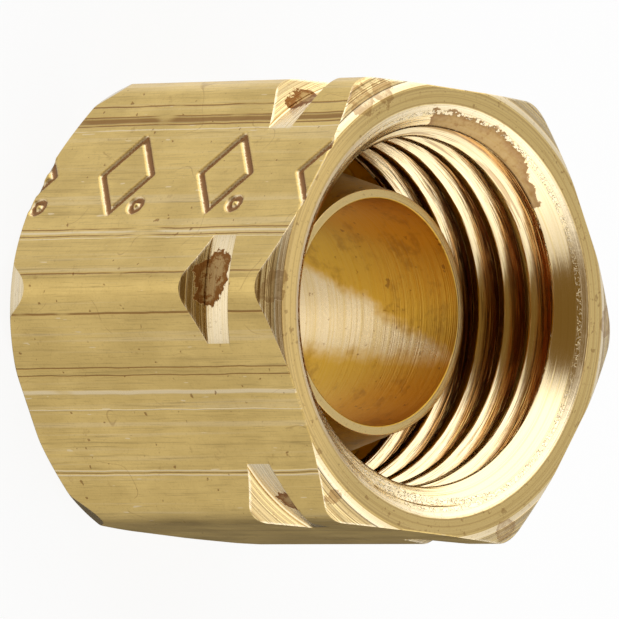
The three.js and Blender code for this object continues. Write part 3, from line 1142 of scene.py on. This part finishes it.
def bored_brass(colours):
    """Drilled brass: rings of the tool's feed, and painted shade in dark orange over all of the bore but a
    light wedge.
    """
    material, graph, place = new_finish("bored_brass")
    x, y, z = graph.axes(place)
    radius = graph.root(x * x + y * y)
    feed = graph.noise(graph.xyz(z, graph.noise(place, 0.3, 1.0) * 0.12, 0.0), 7.0, 3.0, 0.7)
    fine = graph.noise(graph.xyz(z, 0.0, 0.0), 24.0, 2.0, 0.6)
    clouds = graph.noise(place, 1.1, 4.0, 0.65)
    grain = graph.noise(place, 10.0, 3.0, 0.6)
    spots = graph.ramp(graph.noise(place, 3.4, 3.0, 0.5), 0.66, 0.72)
    # Painted shade: the bore is painted dark on one side and low down, leaving a light wedge.
    over = graph.dot(place, PAINTED_SHADE_SIDE) - PAINTED_SHADE_EDGE + (clouds - 0.5) * 1.2
    under = -graph.dot(place, PAINTED_SHADE_LOWER) - PAINTED_SHADE_LOWER_EDGE + (clouds - 0.5) * 0.8
    side = graph.most(graph.ramp(over, -0.3, 0.3), graph.ramp(under, -0.3, 0.3), radius > BORE_RADIUS)
    tone = graph.layers(colours.turned, [
        (graph.ramp(feed, 0.4, 0.65) * 0.5, colours.drawn_deep),
        # Painted shade: the shaded side takes the bore colour, with clouds of the tarnish colour on it.
        (0.25 + side * 0.7, colours.bore),
        (side * graph.ramp(clouds, 0.5, 0.66) * 0.35, colours.tarnish),
        (spots * 0.6, colours.tarnish),
    ])
    roughness = 0.2 + grain * 0.16 + side * 0.06
    metal(graph, tone, roughness, feed * 0.8 + fine * 0.5 + grain * 0.15, 0.014 * MM)
    return material


# ---------------------------------------------------------------------------------------------
# Stage
# ---------------------------------------------------------------------------------------------

VIEW_TILT = math.radians(44.69)
VIEW_TURN = math.radians(6.44)
VIEW_ROLL = math.radians(0.91)
VIEW_DISTANCE = 492.4 * MM
VIEW_LENS = 1008.5
SENSOR_WIDTH = 36
FACE_MIDDLE_IN_VIEW = (3.815 * MM, -0.044 * MM)
FLOOR_DROP = 0.01 * MM
FLOOR_SHADOW = 0.1
TENT_LIGHT = (1.80, 1.86, 2.05)
TENT_DARK_BEHIND = (0.11, 0.095, 0.07)
TENT_DARK_IN_FRONT = (0.18, 0.112, 0.032)


def view_axes():
    """The camera's right, up and back directions."""
    up_axis = Vector((0, 0, 1))
    out = Vector((math.cos(VIEW_TURN), math.sin(VIEW_TURN), 0))
    side = Vector((math.sin(VIEW_TURN), -math.cos(VIEW_TURN), 0))
    across = up_axis * math.sin(VIEW_TILT) - out * math.cos(VIEW_TILT)
    right = across * math.cos(VIEW_ROLL) - side * math.sin(VIEW_ROLL)
    up = across * math.sin(VIEW_ROLL) + side * math.cos(VIEW_ROLL)
    return right, up, up_axis * math.cos(VIEW_TILT) + out * math.sin(VIEW_TILT)


def make_camera():
    """A long lens that looks down into the mouth from one corner of the hexagon."""
    right, up, back = view_axes()
    data = bpy.data.cameras.new("camera")
    data.lens = VIEW_LENS
    data.sensor_width = SENSOR_WIDTH
    data.clip_start = 0.05
    data.clip_end = 3.0
    camera = bpy.data.objects.new("camera", data)
    bpy.context.scene.collection.objects.link(camera)
    mouth = Vector((0, 0, NUT_HIGH.z))
    place = mouth - right * FACE_MIDDLE_IN_VIEW[0] - up * FACE_MIDDLE_IN_VIEW[1] + back * VIEW_DISTANCE
    camera.matrix_world = Matrix.Translation(place) @ Matrix((right, up, back)).transposed().to_4x4()
    bpy.context.scene.camera = camera


def make_tent(settings):
    """Soft light from all round, darker where the tent opens in front and behind."""
    world = bpy.data.worlds.new("light_tent")
    world.use_nodes = True
    world.node_tree.nodes.clear()
    graph = Graph(world.node_tree)
    direction = graph.term("ShaderNodeTexCoord", output="Generated")
    side, rise, toward = [graph.dot(direction, tuple(axis)) for axis in view_axes()]
    off_level = graph.size(rise - 0.06)
    slot = graph.ramp(toward, 0.5, 0.85) * (1 - graph.ramp(off_level, 0.32, 0.46))
    behind = graph.ramp(-toward, 0.3, 0.85) * graph.ramp(-rise, -0.05, 0.12)
    behind = behind * (1 - graph.ramp(side, 0.2, 0.5))
    panels = graph.ramp(rise, 0.35, 0.85) + graph.ramp(-rise, 0.35, 0.9) * 0.45
    panels = panels * graph.ramp(side, -0.6, 0.5)
    front = graph.ramp(toward, 0.0, 0.5) * graph.ramp(off_level, 0.3, 0.5) * graph.ramp(side, 0.1, 0.5)
    strip = graph.ramp(-side, 0.85, 1.0) * graph.ramp(rise, -0.3, 0.1)
    low = graph.ramp(-rise, 0.15, 0.6) * graph.ramp(-side, 0.3, 0.8)
    face = graph.ramp(side, 0.88, 1.0)
    lit = 0.42 + panels + front * 0.25 + strip * 0.2 - low * 0.06 - face * 0.14
    glow = (1 - slot) * (1 - behind) * lit
    dark = graph.blend(graph.ramp(toward, -0.4, 0.4), TENT_DARK_BEHIND, TENT_DARK_IN_FRONT)
    shade = graph.blend(glow, dark, TENT_LIGHT)
    tent = graph.term("ShaderNodeBackground", None, {"Color": shade, "Strength": settings.light})
    plain = graph.term("ShaderNodeBackground", None, {"Color": solid(settings.floor), "Strength": 1.0})
    seen = graph.term("ShaderNodeLightPath", output="Is Camera Ray")
    mixed = graph.term("ShaderNodeMixShader", None, {0: seen, 1: tent, 2: plain})
    graph.add("ShaderNodeOutputWorld", None, {"Surface": mixed})
    bpy.context.scene.world = world


def make_floor(settings):
    """A plain pale floor that keeps only a faint shadow."""
    half = settings.floor_half
    corners = [(x * half, y * half, -FLOOR_DROP) for x, y in ((-1, -1), (1, -1), (1, 1), (-1, 1))]
    mesh = bpy.data.meshes.new("floor")
    mesh.from_pydata(corners, [], [(0, 1, 2, 3)])
    floor = bpy.data.objects.new("floor", mesh)
    bpy.context.scene.collection.objects.link(floor)
    material = bpy.data.materials.new("pale_floor")
    material.use_nodes = True
    material.node_tree.nodes.clear()
    graph = Graph(material.node_tree)
    shade = solid(settings.floor)
    glow = graph.term("ShaderNodeEmission", None, {"Color": shade, "Strength": 1.0})
    matt = graph.term("ShaderNodeBsdfDiffuse", None, {"Color": shade})
    shader = graph.term("ShaderNodeMixShader", None, {0: FLOOR_SHADOW, 1: glow, 2: matt})
    graph.add("ShaderNodeOutputMaterial", None, {"Surface": shader})
    mesh.materials.append(material)
    floor.visible_glossy = False


# ---------------------------------------------------------------------------------------------
# Operators
# ---------------------------------------------------------------------------------------------

def finishes(scene):
    """The brass finishes by the face numbers that wear them, each made once."""
    makers = {
        DRAWN_FACE: drawn_brass,
        TURNED_FACE: turned_brass,
        THREAD_FACE: thread_brass,
        INNER_FACE: bored_brass,
    }
    made = {}
    for number, maker in makers.items():
        known = bpy.data.materials.get(maker.__name__)
        made[number] = known or maker(scene.fitting_colours)
    return made


def place_piece(name, mesh, node, body):
    """Links a finished mesh as the piece that stands for a CAD node."""
    piece = bpy.data.objects.new(name, mesh)
    bpy.context.scene.collection.objects.link(piece)
    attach(piece, body)
    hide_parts(node)


class FITTING_OT_make_nut(bpy.types.Operator):
    """Make the hexagonal nut with its thread, groove and stamped marks"""

    bl_idname = "fitting.make_nut"
    bl_label = "Make nut"

    def execute(self, context):
        scene = context.scene
        bar, outside, inside = bar_sizes(), scene.fitting_outside, scene.fitting_inside
        graph, sizes = nut_tree(bar, outside, inside, finishes(scene))
        rows = rows_mesh("nut_rows", nut_rows(bar, outside, inside))
        mesh = grown("hex_nut", graph, rows, sizes)
        tidied(mesh)
        stamp(mesh, scene.fitting_marks)
        weighted_normals(mesh)
        place_piece("hex_nut", mesh, "nut", "nut_body")
        return {"FINISHED"}


class FITTING_OT_make_sleeve(bpy.types.Operator):
    """Make the turned sleeve that is captive in the nut"""

    bl_idname = "fitting.make_sleeve"
    bl_label = "Make sleeve"

    def execute(self, context):
        scene = context.scene
        graph = sleeve_tree(finishes(scene))
        rows = rows_mesh("sleeve_rows", sleeve_rows(scene.fitting_sleeve))
        mesh = grown("turned_sleeve", graph, rows, {})
        tidied(mesh)
        weighted_normals(mesh)
        place_piece("turned_sleeve", mesh, "captive_sleeve", "sleeve_body")
        return {"FINISHED"}


class FITTING_OT_make_stage(bpy.types.Operator):
    """Make the pale floor, the light tent and the camera"""

    bl_idname = "fitting.make_stage"
    bl_label = "Make stage"

    def execute(self, context):
        settings = context.scene.fitting_stage
        make_floor(settings)
        make_tent(settings)
        make_camera()
        context.scene.view_settings.view_transform = "Standard"
        return {"FINISHED"}


class FITTING_PT_pieces(bpy.types.Panel):
    """The fitting's pieces and their sizes"""

    bl_label = "Compression nut"
    bl_idname = "FITTING_PT_pieces"
    bl_space_type = "VIEW_3D"
    bl_region_type = "UI"
    bl_category = "Fitting"

    def draw(self, context):
        for operator in OPERATORS:
            self.layout.operator(operator.bl_idname)
        for label in GROUPS:
            group = getattr(context.scene, label)
            box = self.layout.box()
            for item in group.bl_rna.properties:
                if item.identifier not in ("rna_type", "name"):
                    box.prop(group, item.identifier)


OPERATORS = (FITTING_OT_make_nut, FITTING_OT_make_sleeve, FITTING_OT_make_stage)
GROUPS = {
    "fitting_outside": NutOutsideSizes,
    "fitting_inside": NutInsideSizes,
    "fitting_sleeve": SleeveSizes,
    "fitting_marks": MarkSizes,
    "fitting_colours": FinishColours,
    "fitting_stage": StageSettings,
}
CLASSES = (*GROUPS.values(), *OPERATORS, FITTING_PT_pieces)


def register():
    for item in CLASSES:
        bpy.utils.register_class(item)
    for label, group in GROUPS.items():
        setattr(bpy.types.Scene, label, bpy.props.PointerProperty(type=group))


def unregister():
    for label in GROUPS:
        delattr(bpy.types.Scene, label)
    for item in reversed(CLASSES):
        bpy.utils.unregister_class(item)


def main():
    register()
    bpy.ops.fitting.make_nut()
    bpy.ops.fitting.make_sleeve()
    bpy.ops.fitting.make_stage()


if __name__ == "__main__":
    main()
